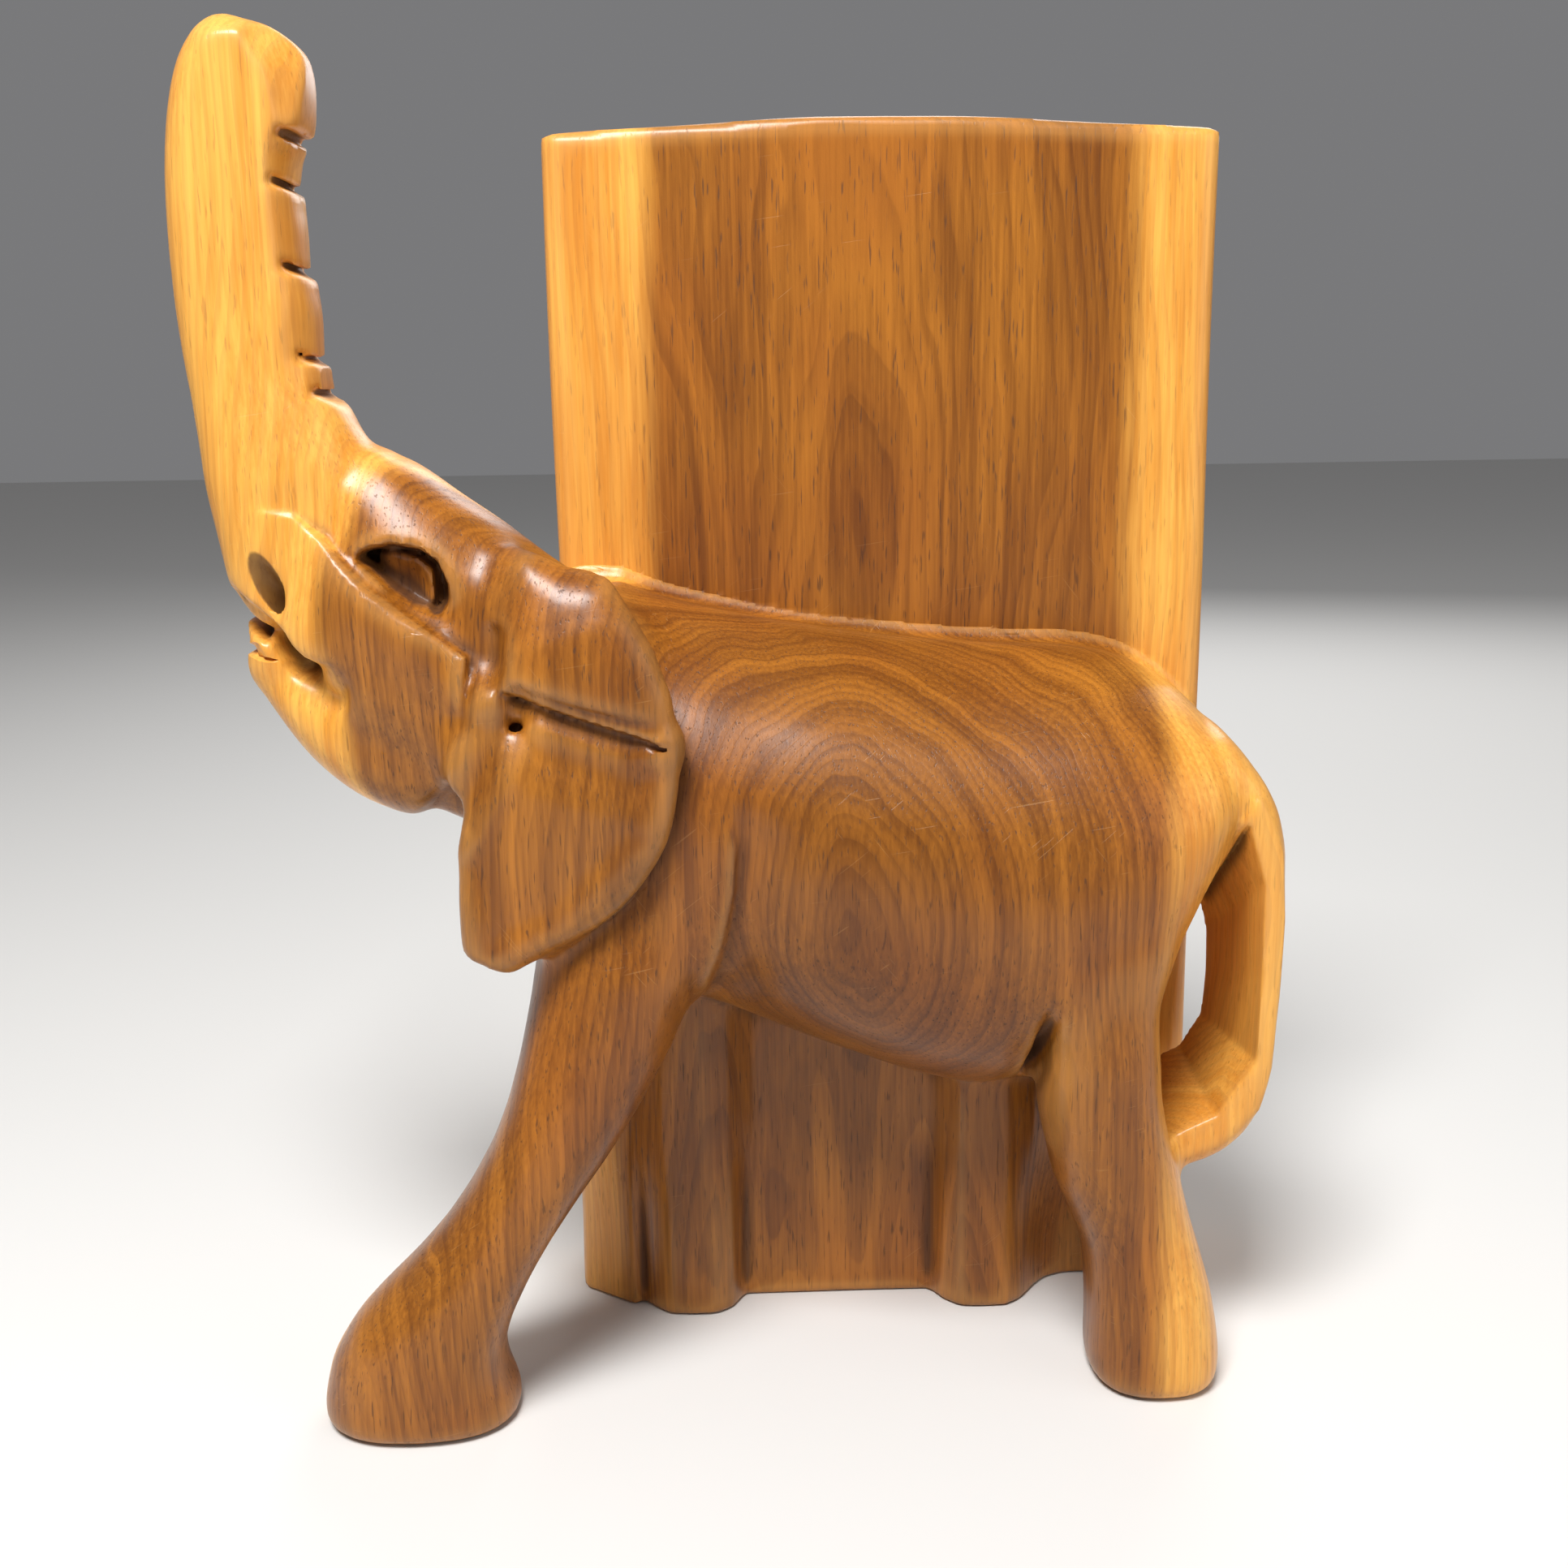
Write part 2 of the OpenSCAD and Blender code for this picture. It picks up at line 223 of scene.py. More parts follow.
def line_gap(block, path):
    """Distance in the side view to an open line of points."""
    x, z = lattice(0, block), lattice(2, block)
    best = np.inf
    for a, b in zip(path[:-1], path[1:]):
        best = np.minimum(best, segment_gap(x, z, a, b))
    return best


def funnel(block, near, deep, near_y, deep_y):
    """A hole seen along y. Its outline runs evenly from near, at near_y, to deep, at deep_y."""
    x, y, z = (lattice(axis, block) for axis in range(3))
    t = np.clip((y - near_y) / (deep_y - near_y), 0, 1)
    corners = [(a[0] + (b[0] - a[0]) * t, a[1] + (b[1] - a[1]) * t) for a, b in zip(near, deep)]
    edge, inside = np.inf, False
    for a, b in zip(corners, corners[1:] + corners[:1]):
        edge = np.minimum(edge, segment_gap(x, z, a, b))
        dx, dz = b[0] - a[0], b[1] - a[1]
        crossing_x = dx * (z - a[1]) / np.where(dz == 0, 1e-6, dz) + a[0]
        inside = inside ^ (((a[1] > z) != (b[1] > z)) & (x < crossing_x))
    return np.where(inside, -edge, edge).astype(np.float32)


def region(block, path):
    """Signed distance in the side view to a closed outline, negative inside it."""
    return funnel(block, path, path, 0, 1)[:, :1, :]


def relief(skin, block, depth, side, middle=TRUNK_Y):
    """Cuts the skin back by a depth drawn in the side view, on one side of a middle plane."""
    faces = ramp_up(side * (middle - lattice(1, block)), 1, 7)
    skin[block] += (depth * faces).astype(np.float32)


def uneven(seed, size, spacing):
    """Gentle random hills over the whole lattice, of that size and spacing: the carver's hand."""
    rng = np.random.default_rng(seed)
    counts = [int(math.ceil(n * STEP / spacing)) + 4 for n in SHAPE]
    hills = rng.uniform(-1, 1, counts).astype(np.float32)
    for axis in range(3):
        place = np.arange(SHAPE[axis]) * STEP / spacing + 1
        cell = place.astype(int)
        t = place - cell
        weights = np.zeros((SHAPE[axis], counts[axis]), np.float32)
        rows = np.arange(SHAPE[axis])
        for offset, part in enumerate((
            (1 - t) ** 3 / 6,
            (3 * t ** 3 - 6 * t * t + 4) / 6,
            (-3 * t ** 3 + 3 * t * t + 3 * t + 1) / 6,
            t ** 3 / 6,
        )):
            weights[rows, cell + offset - 1] = part
        hills = np.moveaxis(np.tensordot(weights, hills, (1, axis)), 0, axis)
    return size * hills


# ---------------------------------------------------------------- the elephant's skin

HIP_SOFT = 9.0    # fillet where a near leg grows into the body
EAR_SOFT = 7.0    # fillet where the near ear grows into the neck
JOINED_LATER = ("body", "near_ear", "far_ear", "tail", "near_eye", "far_eye")

# Spare wood behind the fold of the near ear: its line in x and z, its distance from the board, and its radius
EAR_FOLD = [(-65, 128.5), (-42, 121.5)]
EAR_FOLD_OUT = 43.5
EAR_FOLD_RADIUS = 5.2


def rough_out(solids):
    """The members run together and worn smooth, before any detail is cut."""
    barrel = blurred(solids["body"], 3.5)
    limbs = [name for name in ELEPHANT if name not in JOINED_LATER]
    x, z = lattice(0, EVERYWHERE), lattice(2, EVERYWHERE)
    field = barrel
    for name in limbs:
        grown_in = HIP_SOFT * ramp_up(z, 56, 84) if name in ("near_hind_leg", "near_front_leg") else 0
        field = join(field, solids[name], 1.5 + grown_in)
    field = blurred(field, 1.7)
    merge = np.maximum(1 - ramp_up(x, -64, -50), ramp_up(z, 126, 146))
    fold = [(at, FACE_Y - EAR_FOLD_OUT, up) for at, up in EAR_FOLD]
    flap = gouge(EVERYWHERE, fold, EAR_FOLD_RADIUS)
    ear = join(blurred(solids["near_ear"], 0.9), flap, 2.0)
    field = join(field, ear, 1.5 + EAR_SOFT * merge)
    field = join(field, blurred(solids["far_ear"], 0.9), 2.5)
    return join(field, blurred(solids["tail"], 1.5), 4.0)


# How far the relief of the far legs stands out from the board, across x: at the floor, and higher up
FAR_LEGS_LOW = [
    (-61, 0), (-58.5, 2), (-50.5, 8), (-48.5, 6.8), (-46, 9.5), (-43, 11.8), (-34, 12), (-31, 10), (-28, 4.6),
    (-10, 4.4), (8, 4.6), (11, 9.5), (14, 12), (23, 12), (26, 10), (32, 3), (37, 0),
]
FAR_LEGS_HIGH = [
    (-61, 1), (-57, 5), (-50, 9), (-44, 11.5), (-36, 12), (-31, 10), (-26, 6.5), (-20, 5), (3, 5), (9, 7),
    (14, 11), (23, 12), (28, 11), (36, 7), (42, 0),
]


def carve_far_legs(skin):
    """The two far legs, in relief on the board, with the ground between them."""
    block = block_of((-61.5, FACE_Y - 20, -1), (44, FACE_Y + PAD, 80))
    x, y, z = (lattice(axis, block) for axis in range(3))
    low = np.interp(x.ravel(), *zip(*FAR_LEGS_LOW)).reshape(-1, 1, 1)
    high = np.interp(x.ravel(), *zip(*FAR_LEGS_HIGH)).reshape(-1, 1, 1)
    out = low + (high - low) * ramp_up(z, 6, 42)
    ground = both(both(FACE_Y - out - y, -z, 1.2), np.abs(x + 9) - 51.5, 1.0)
    skin[block] = join(skin[block], ground.astype(np.float32), 3.0)


# Lines and outlines of the near ear in the side view, as x and z
EAR_SLOT = [(-66.9, 131.8), (-60.6, 129.8), (-54.6, 127.5), (-48.6, 125.4), (-42.5, 123.4), (-39.3, 122.2)]
EAR_LOWER = EAR_SLOT + [(-36, 118), (-39, 104), (-56, 88), (-74, 80), (-80, 104), (-68, 124)]
EAR_VALLEY = [(-64.6, 128.5), (-66.5, 124.0), (-69.5, 118.5), (-73.5, 111.5), (-79.5, 105.5)]
EAR_CREASE = [(-66.6, 140), (-67.3, 133)]


def carve_ear(skin):
    """The near ear: a folded flap over a slot, a hollow face below it, and a valley against the cheek."""
    block = block_of((-86, FACE_Y - 56, 76), (-30, FACE_Y - 30, 160))
    slot = line_gap(block, EAR_SLOT)
    lower = region(block, EAR_LOWER)
    x = lattice(0, block)
    ends = ramp_up(x, -68, -63) * (1 - ramp_up(x, -46, -38))
    set_back = 2.4 * ends * ramp_up(-lower, -0.3, 0.6) * (1 - ramp_up(slot, 2.0, 15))
    dished = 1.1 * ramp_up(-lower, 3, 9)
    valley = 2.0 * (1 - ramp_up(line_gap(block, EAR_VALLEY), 0, 5.5))
    crease = 0.7 * (1 - ramp_up(line_gap(block, EAR_CREASE), 0, 3.0))
    relief(skin, block, set_back + dished + valley + crease, NEAR, FACE_Y - 30)
    face_y = FACE_Y - 50.0
    for cut_y in np.linspace(face_y + 2.5, face_y - 6, 5):
        row = [(at, cut_y, up - 0.8) for at, up in (EAR_SLOT[0], EAR_SLOT[-1])]
        skin[block] = without(skin[block], gouge(block, row, 0.4, 0.75), 0.3)


# Lines of the face in the side view, as x and z
EYE_TOP = [(-89.8, 152.4), (-88.0, 153.8), (-83.9, 154.8), (-79.0, 153.8), (-76.2, 151.8), (-74.7, 148.0),
           (-74.8, 145.0), (-76.6, 142.8)]
EYE_BOTTOM = [(-80.5, 144.4), (-84.5, 147.2), (-87.5, 150.0)]
CHEEK_RIDGE = [
    (-99.7, 159.3), (-94.6, 155.3), (-90.7, 151.0), (-86.7, 147.0), (-80.0, 142.3), (-76.1, 139.7),
    (-71.6, 136.6),
]
CHEEK = CHEEK_RIDGE + [(-74, 120), (-100, 120), (-113, 146), (-106, 160)]
UPPER_LIP = [
    (-112.0, 148.0), (-106.7, 144.4), (-104.7, 142.4), (-102.3, 140.4), (-100.7, 138.0), (-98.8, 136.2),
    (-95.9, 135.3), (-93.3, 136.0), (-90.5, 136.2),
]
MOUTH = UPPER_LIP + [(-90, 128), (-98, 128), (-108, 134), (-114, 140)]


def carve_eye(skin, side):
    """A hollow under a sharp brow, and in it an eyeball of two facets that meet in an upright edge."""
    block = block_of((-114, HEAD_LOW.y - 4, 130), (-60, FACE_Y + PAD, 174))
    x = lattice(0, block)
    hollow = region(block, EYE_TOP + EYE_BOTTOM)
    ball = np.minimum((x + 89) / 11.5, (-76.7 - x) / 0.9)
    ball = np.minimum(ball, (line_gap(block, EYE_TOP) - 1.0) / 1.3)
    depth = (4.4 - 3.0 * np.clip(ball, 0, 1)) * ramp_up(-hollow, -0.3, 1.1)
    above = ramp_up(region(block, CHEEK), -0.4, 0.6) * (1 - ramp_up(line_gap(block, CHEEK_RIDGE), 1, 9))
    relief(skin, block, depth + 0.7 * above, side)


# The line of the forehead and the neck in the side view
BROW = [
    (-94, 182.0), (-84.3, 169.8), (-73.3, 162.0), (-64.8, 155.9), (-59.4, 152.4), (-50, 148.6), (-44, 154.0),
]


def carve_brow(skin):
    """The top of the head runs down to the neck in one long, nearly straight line, ears included."""
    block = block_of((-94, HEAD_LOW.y - 10, 140), (-46, FACE_Y + BEHIND, 190))
    x, y, z = (lattice(axis, block) for axis in range(3))
    line = np.interp(x.ravel(), *zip(*BROW)).reshape(-1, 1, 1)
    above = (z - line) * 0.8 - 2.5 * ramp_up(x, -56, -48) + 3.2 * ramp_up(y, FACE_Y - 18, FACE_Y - 6)
    skin[block] = both(skin[block], (above + 0 * skin[block]).astype(np.float32), 5.0)


def carve_cheek(skin, side):
    """The cheek stands proud along a sharp ridge that runs down from the root of the trunk."""
    block = block_of((-118, HEAD_LOW.y - 4, 112), (-62, FACE_Y + PAD, 168))
    proud = ramp_up(-region(block, CHEEK), -0.4, 0.6) * (1 - ramp_up(line_gap(block, CHEEK_RIDGE), 1.5, 13))
    proud = proud * ramp_up(lattice(0, block), -101, -93)
    relief(skin, block, -1.0 * proud, side)


def carve_mouth(skin):
    """The open mouth, with the fold of the upper lip running back into the cheek, and the lower lip."""
    block = block_of((-120, HEAD_LOW.y - 4, 112), (-84, FACE_Y + PAD, 152))
    lip = gouge(block, [(-106.2, TRUNK_Y + 6, 134.6), (-106.2, TRUNK_Y - 6, 134.6)], 3.9)
    skin[block] = join(skin[block], lip, 3.0)
    corner = gouge(block, [(-93.5, TRUNK_Y + 12, 133.5), (-93.5, TRUNK_Y - 12, 133.5)], 3.2)
    skin[block] = join(skin[block], corner, 3.0)
    x = lattice(0, block)
    fold = ramp_up(-region(block, MOUTH), -0.4, 0.9) * (1 - ramp_up(line_gap(block, UPPER_LIP), 1.0, 6))
    for side in (NEAR, FAR_SIDE):
        relief(skin, block, 1.7 * (1 - ramp_up(x, -104, -92)) * fold, side)
    opening = chisel(block, (-111.0, TRUNK_Y, 142.6), (12, 60, 1.6), 33)
    skin[block] = without(skin[block], opening, 1.5)


def drill_sockets(skin):
    """The tusk sockets, on the lines of the record's mounts."""
    for mount in frame["record"]["mounts"]:
        if mount["kind"] != "bore":
            continue
        middle, axis = Vector(mount["pos_m"]) / MM, Vector(mount["axis"])
        radius = mount["dims"]["r_mm"]
        ends = [middle - axis * 4, middle + axis * 24]
        reach = radius + 2
        low = [min(end[i] for end in ends) - reach for i in range(3)]
        high = [max(end[i] for end in ends) + reach for i in range(3)]
        block = block_of(low, high)
        drill = gouge(block, [tuple(end) for end in ends], radius)
        skin[block] = without(skin[block], drill, 0.4)


# The sharp edge between the trunk's flat side and its inner face, as distance below the trunk's top and x
TRUNK_EDGE = [
    (0, -106.5), (3.5, -103.9), (9.5, -100.3), (12.5, -99.4), (19, -98.5), (27, -98.6), (39.5, -98.0),
    (55, -96.6), (66, -93.0), (74, -88.0),
]
# How far below the trunk's top the wrinkle cuts lie
TRUNK_NOTCHES = [27.6, 40.6, 54.6, 60.4]


def carve_trunk(skin):
    """Flat sides with a sharp edge along the inner face, wrinkles cut across it, and the tip bent over."""
    block = block_of((TRUNK_LOW.x - 3, TRUNK_LOW.y - 4, 148), (-76, FACE_Y + PAD, TRUNK_TOP + 3))
    x, y, z = (lattice(axis, block) for axis in range(3))
    down = TRUNK_TOP - z
    edge_x = np.interp(down.ravel(), *zip(*TRUNK_EDGE)).reshape(1, 1, -1)
    fade = ramp_up(down, 60, 76)
    spare = 1.5 * ramp_up(x, edge_x - 9, edge_x - 3) * (1 - ramp_up(down, 44, 58)) * ramp_up(down, 2, 8)
    skin[block] -= (spare + 0 * skin[block]).astype(np.float32)
    half = 9.6 + 6.4 * ramp_up(down, 40, 100) + 8 * ramp_up(down, 84, 94)
    half = half + 14 * ramp_up(x, -100, -88) * ramp_up(down, 50, 60)
    tip = 1 - ramp_up(down, 17, 24)
    for side in (NEAR, FAR_SIDE):
        out = side * (TRUNK_Y - y)
        flat = out - half
        lean = 0.25 + 0.45 * tip
        inner = (x - edge_x) * np.sqrt(1 - lean * lean) + flat * lean - 40 * fade
        skin[block] = both(skin[block], (flat + 0 * x).astype(np.float32), 0.3)
        skin[block] = both(skin[block], inner.astype(np.float32), 0.3)
    for start, end in zip([19.0] + TRUNK_NOTCHES[:-1], TRUNK_NOTCHES):
        tooth = np.clip((down - start) / (end - start), 0, 1) * (down < end)
        inside = ramp_up(x, edge_x - 4, edge_x + 1)
        skin[block] += (0.9 * tooth ** 2 * inside).astype(np.float32)
    for down_to in TRUNK_NOTCHES:
        at_x = float(np.interp(down_to, *zip(*TRUNK_EDGE)))
        cut = chisel(block, (at_x + 0.9, TRUNK_Y, TRUNK_TOP - down_to + 0.2), (6.0, 60, 1.0), 28)
        skin[block] = without(skin[block], cut, 0.6)
    end_of_tip = chisel(block, (-95.2, TRUNK_Y, TRUNK_TOP - 19.8), (7, 60, 1.6), 12)
    skin[block] = without(skin[block], end_of_tip, 0.6)
    bend = gouge(block, [(-108, TRUNK_LOW.y - 4, TRUNK_TOP + 0.8), (-108, FACE_Y, TRUNK_TOP + 0.8)], 1.3)
    skin[block] = without(skin[block], bend, 1.0)


# Lines of the near legs in the side view, as x and z
THIGH = [(25.0, 75), (24.4, 68), (23.6, 58), (23.2, 49), (23.4, 44)]
SHOULDER = [(-31, 112), (-29.0, 104), (-29.5, 96), (-31.5, 86), (-34.5, 76), (-38, 68)]
IN_FRONT_OF_SHOULDER = SHOULDER + [(-60, 60), (-70, 90), (-45, 115)]


def carve_creases(skin):
    """A narrow cut parts the thigh from the belly, and an edge with a valley behind it parts the shoulder."""
    block = block_of((-75, FACE_Y - 60, 36), (40, FACE_Y - 14, 122))
    z = lattice(2, block)
    cut = 4.5 * (1 - ramp_up(line_gap(block, THIGH), 0.3, 2.0)) * (1 - ramp_up(z, 60, 77))
    round_it = 1.1 * (1 - ramp_up(line_gap(block, THIGH), 0, 8)) * (1 - ramp_up(z, 62, 78))
    side = region(block, IN_FRONT_OF_SHOULDER)
    fade = ramp_up(z, 68, 78) * (1 - ramp_up(z, 100, 114))
    behind = ramp_up(side, -0.6, 1.6) * (1 - ramp_up(line_gap(block, SHOULDER), 2, 13))
    relief(skin, block, cut + round_it + 1.6 * behind * fade, NEAR, FACE_Y - 14)


# Outlines in the side view, as x and z: the tail's band, and its opening in front and behind
TAIL_WALL = [
    (62, 108), (66.4, 98), (67.4, 86), (67.2, 72), (66.4, 58), (64.4, 50.5), (57, 43.6), (45, 41.2),
    (42.5, 43), (44, 52), (50, 58), (57, 62), (58, 76), (58, 90), (59, 104),
]
TAIL_NEAR = [
    (60, 105), (63.4, 93), (63.8, 76), (63.4, 60), (57, 49.5), (41.5, 42.3), (40.5, 60), (43.5, 70),
    (47.5, 81), (52.5, 92),
]
TAIL_DEEP = [
    (60.5, 79), (61.6, 74), (61.8, 66), (61.4, 58), (57.5, 51.5), (50, 48), (48.5, 54), (50, 62), (53, 69),
    (57, 76),
]


def carve_tail(skin):
    """The opening between the tail and the hind leg: wide in front, narrow behind, with a sloping floor."""
    block = block_of((34, TAIL_LOW.y - 4, 34), (TAIL_HIGH.x + 3, FACE_Y + PAD, 112))
    y = lattice(1, block)
    back_of_thigh = [(52.5, TAIL_LOW.y + 6.5, 96), (47.5, TAIL_LOW.y + 5.5, 78), (43, TAIL_LOW.y + 5, 58)]
    thigh = gouge(block, back_of_thigh, 4.6)
    skin[block] = join(skin[block], thigh, 5.0)
    wall = both(region(block, TAIL_WALL), np.maximum(TAIL_LOW.y + 0.6 - y, y - FACE_Y + 5), 0.8)
    skin[block] = join(skin[block], wall.astype(np.float32), 1.0)
    hole = funnel(block, TAIL_NEAR, TAIL_DEEP, TAIL_LOW.y, FACE_Y - 3)
    skin[block] = without(skin[block], hole, 0.5)


def carve(solids):
    skin = rough_out(solids)
    carve_far_legs(skin)
    carve_creases(skin)
    carve_brow(skin)
    for side in (NEAR, FAR_SIDE):
        carve_cheek(skin, side)
        carve_eye(skin, side)
    carve_ear(skin)
    carve_mouth(skin)
    carve_trunk(skin)
    carve_tail(skin)
    flare = join(skin, solids[BOARD], 2.5)
    skin = np.maximum(flare, skin - 1.6)
    skin += uneven(5, 0.35, 9.0)
    drill_sockets(skin)
    x, y, z = (lattice(axis, EVERYWHERE) for axis in range(3))
    in_board = np.maximum(np.maximum(FACE_Y + LET_IN - y, BOARD_LOW.x + 1.5 - x), x - BOARD_HIGH.x + 1.5)
    skin = without(skin, in_board)
    return both(skin, -z, 0.8)


# ---------------------------------------------------------------- meshes

def mesh_of(field, name, first, step, adaptivity=0.0):
    """The field's surface as an object in metres."""
    grid = openvdb.FloatGrid(FAR)
    grid.transform = openvdb.createLinearTransform(step)
    grid.copyFromArray(np.ascontiguousarray(field, np.float32), ijk=first)
    points, triangles, quads = grid.convertToPolygons(0.0, adaptivity)
    corners = np.concatenate([quads.ravel(), triangles.ravel()]).astype(np.int32)
    sizes = np.concatenate([np.full(len(quads), 4), np.full(len(triangles), 3)]).astype(np.int32)
    mesh = bpy.data.meshes.new(name)
    mesh.vertices.add(len(points))
    mesh.vertices.foreach_set("co", (points * MM).astype(np.float32).ravel())
    mesh.loops.add(len(corners))
    mesh.loops.foreach_set("vertex_index", corners)
    mesh.polygons.add(len(sizes))
    mesh.polygons.foreach_set("loop_start", np.concatenate([[0], np.cumsum(sizes)[:-1]]).astype(np.int32))
    mesh.update(calc_edges=True)
    mesh.validate()
    piece = bpy.data.objects.new(name, mesh)
    bpy.context.scene.collection.objects.link(piece)
    return piece


def combine(piece, tool, how):
    """Applies a boolean of two closed meshes to the first."""
    modifier = piece.modifiers.new("cut", "BOOLEAN")
    modifier.operation = how
    modifier.solver = "MANIFOLD"
    modifier.object = tool
    graph = bpy.context.evaluated_depsgraph_get()
    mesh = bpy.data.meshes.new_from_object(piece.evaluated_get(graph))
    piece.modifiers.clear()
    old, piece.data = piece.data, mesh
    mesh.name = piece.name
    bpy.data.meshes.remove(old)


def copy_of(piece, name):
    twin = bpy.data.objects.new(name, piece.data.copy())
    bpy.context.scene.collection.objects.link(twin)
    return twin


def discard(piece):
    mesh = piece.data
    bpy.data.objects.remove(piece)
    bpy.data.meshes.remove(mesh)


def drop_crumbs(piece):
    """Keeps only the piece's largest connected part."""
    mesh = piece.data
    edges = np.empty(len(mesh.edges) * 2, np.int32)
    mesh.edges.foreach_get("vertices", edges)
    edges = edges.reshape(-1, 2)
    label = np.arange(len(mesh.vertices))
    while True:
        low = np.minimum(label[edges[:, 0]], label[edges[:, 1]])
        new = label.copy()
        np.minimum.at(new, edges[:, 0], low)
        np.minimum.at(new, edges[:, 1], low)
        new = new[new]
        if (new == label).all():
            break
        label = new
    names, counts = np.unique(label, return_counts=True)
    if len(names) == 1:
        return
    keep = names[counts.argmax()]
    work = bmesh.new()
    work.from_mesh(mesh)
    work.verts.ensure_lookup_table()
    bmesh.ops.delete(work, geom=[work.verts[i] for i in np.nonzero(label != keep)[0]], context="VERTS")
    work.to_mesh(mesh)
    work.free()


BOARD_STEP = 1.25


def board_slab():
    """The upright board with worn edges and the slight waviness of hand planing."""
    low, high = (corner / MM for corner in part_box(BOARD))
    first = tuple(int(math.floor((v - PAD) / BOARD_STEP)) for v in (low.x, FACE_Y, low.z))
    last = tuple(int(math.ceil((v + PAD) / BOARD_STEP)) for v in high)
    shape = tuple(b - a + 1 for a, b in zip(first, last))
    field = np.empty(shape, np.float32)
    node_grid(BOARD, BOARD_STEP, 6).copyToArray(field, ijk=first)
    x, y, z = (along(axis, first[axis], shape[axis], BOARD_STEP) for axis in range(3))
    field = both(field, (FACE_Y - y).astype(np.float32) + 0 * field)
    field = blurred(field, 0.6, BOARD_STEP) + 0.1
    field += 0.22 * np.sin(x / 13 + z / 47) * np.sin(z / 29 + 0.6)
    field += 0.12 * np.sin(x / 5.5 + 1.3) * np.sin(z / 17)
    layer = (field, blurred(field, 2.4, BOARD_STEP), first, BOARD_STEP)
    return mesh_of(field, BOARD, first, BOARD_STEP), layer


# The skin is cut apart on a coarser lattice that starts where the fine one does
ROOM_STEP = 2 * STEP
ROOM_FIRST = tuple(v // 2 for v in FIRST)
TIE = 0.02       # settles the places that are equally far from both sides
EYES = ("near_eye", "far_eye")
EYE_LEAD = 2.2   # how much nearer the eyes count as being, so that they keep a skin
# Neighbours stand together, so that each halving cuts through few meeting faces
MEMBERS = [
    "trunk", "lower_jaw", "head", "near_eye", "far_eye", "near_ear", "far_ear",
    "near_front_leg", "far_front_leg", "body", "near_hind_leg", "far_hind_leg", "tail",
]


def split(whole, distances, ours, theirs):
    """Cuts a mesh in two where our CAD solids and theirs are equally near."""
    apart = np.minimum.reduce([distances[name] for name in ours])
    apart = apart - np.minimum.reduce([distances[name] for name in theirs]) + TIE
    apart[[0, -1]] = apart[:, [0, -1]] = apart[:, :, [0, -1]] = FAR
    room = mesh_of(apart, "room", ROOM_FIRST, ROOM_STEP)
    part = copy_of(whole, "part")
    combine(part, room, "INTERSECT")
    combine(whole, room, "DIFFERENCE")
    discard(room)
    return part, whole


def part_members(whole, distances, names):
    """Halves the skin along the CAD's meeting faces, again and again, until each member is its own piece."""
    if len(names) == 1:
        return {names[0]: whole}
    half = len(names) // 2
    first, second = split(whole, distances, names[:half], names[half:])
    return {**part_members(first, distances, names[:half]), **part_members(second, distances, names[half:])}


def members(skin, slab):
    """The finished pieces by CAD node. The board keeps the ground between the far legs."""
    distances = {}
    shape = tuple(n // 2 + 1 for n in SHAPE)
    for name in [BOARD] + MEMBERS:
        distances[name] = np.empty(shape, np.float32)
        node_grid(name, ROOM_STEP, BAND).copyToArray(distances[name], ijk=ROOM_FIRST)
    for name in EYES:
        distances[name] -= EYE_LEAD
    ground, skin = split(skin, distances, [BOARD], MEMBERS)
    combine(skin, slab, "DIFFERENCE")
    combine(slab, ground, "UNION")
    discard(ground)
    return {BOARD: slab, **part_members(skin, distances, MEMBERS)}


# ---------------------------------------------------------------- what the wood knows about its shape

def sampled(field, first, step, points):
    """The field's values at points in millimetres, blended between the eight samples round each point."""
    place = points / step - np.array(first)
    place = np.clip(place, 0, np.array(field.shape) - 1.001)
    cell = place.astype(int)
    t = place - cell
    total = np.zeros(len(points))
    for corner in range(8):
        bits = [(corner >> axis) & 1 for axis in range(3)]
        weight = np.prod([t[:, a] if bits[a] else 1 - t[:, a] for a in range(3)], axis=0)
        total += weight * field[cell[:, 0] + bits[0], cell[:, 1] + bits[1], cell[:, 2] + bits[2]]
    return total


def painted_socket_shade(points):
    """1 on the wall of a tusk socket, and 0 a little way off it: where painted shade darkens the sockets."""
    share = np.zeros(len(points))
    for mount in frame["record"]["mounts"]:
        if mount["kind"] == "bore":
            middle, axis = np.array(mount["pos_m"]) / MM, np.array(mount["axis"])
            depth = (points - middle) @ axis
            out = np.linalg.norm(points - middle - depth[:, None] * axis, axis=1) - mount["dims"]["r_mm"]
            on_wall = (1 - ramp_up(out, 0.1, 0.9)) * (np.abs(depth) < mount["dims"]["length_mm"])
            share = np.maximum(share, on_wall)
    return share


def note_relief(piece, layers):
    """Stores on each vertex how far it stands on an edge, above 0, or in a hollow, below 0."""
    points = np.empty(len(piece.data.vertices) * 3, np.float32)
    piece.data.vertices.foreach_get("co", points)
    points = points.reshape(-1, 3) / MM
    best, relief_there = np.full(len(points), np.inf), np.zeros(len(points))
    for field, soft, first, step in layers:
        gap = sampled(field, first, step, points)
        lift = sampled(soft, first, step, points) - gap
        nearer = np.abs(gap) < best
        best = np.where(nearer, np.abs(gap), best)
        relief_there = np.where(nearer, lift, relief_there)
    # Painted shade: the walls of the tusk sockets count as deep hollows, so the material darkens them
    relief_there -= painted_socket_shade(points)
    attribute = piece.data.attributes.new("relief", "FLOAT", "POINT")
    attribute.data.foreach_set("value", relief_there.astype(np.float32))


# ---------------------------------------------------------------- the wood
# One piece of wood: the nodes work in millimetres in the shared frame, so the grain runs on between members.

PITH = (-9.0, -66.0, 82.0)
PITH_LEAN = 0.13
RING = 1.5
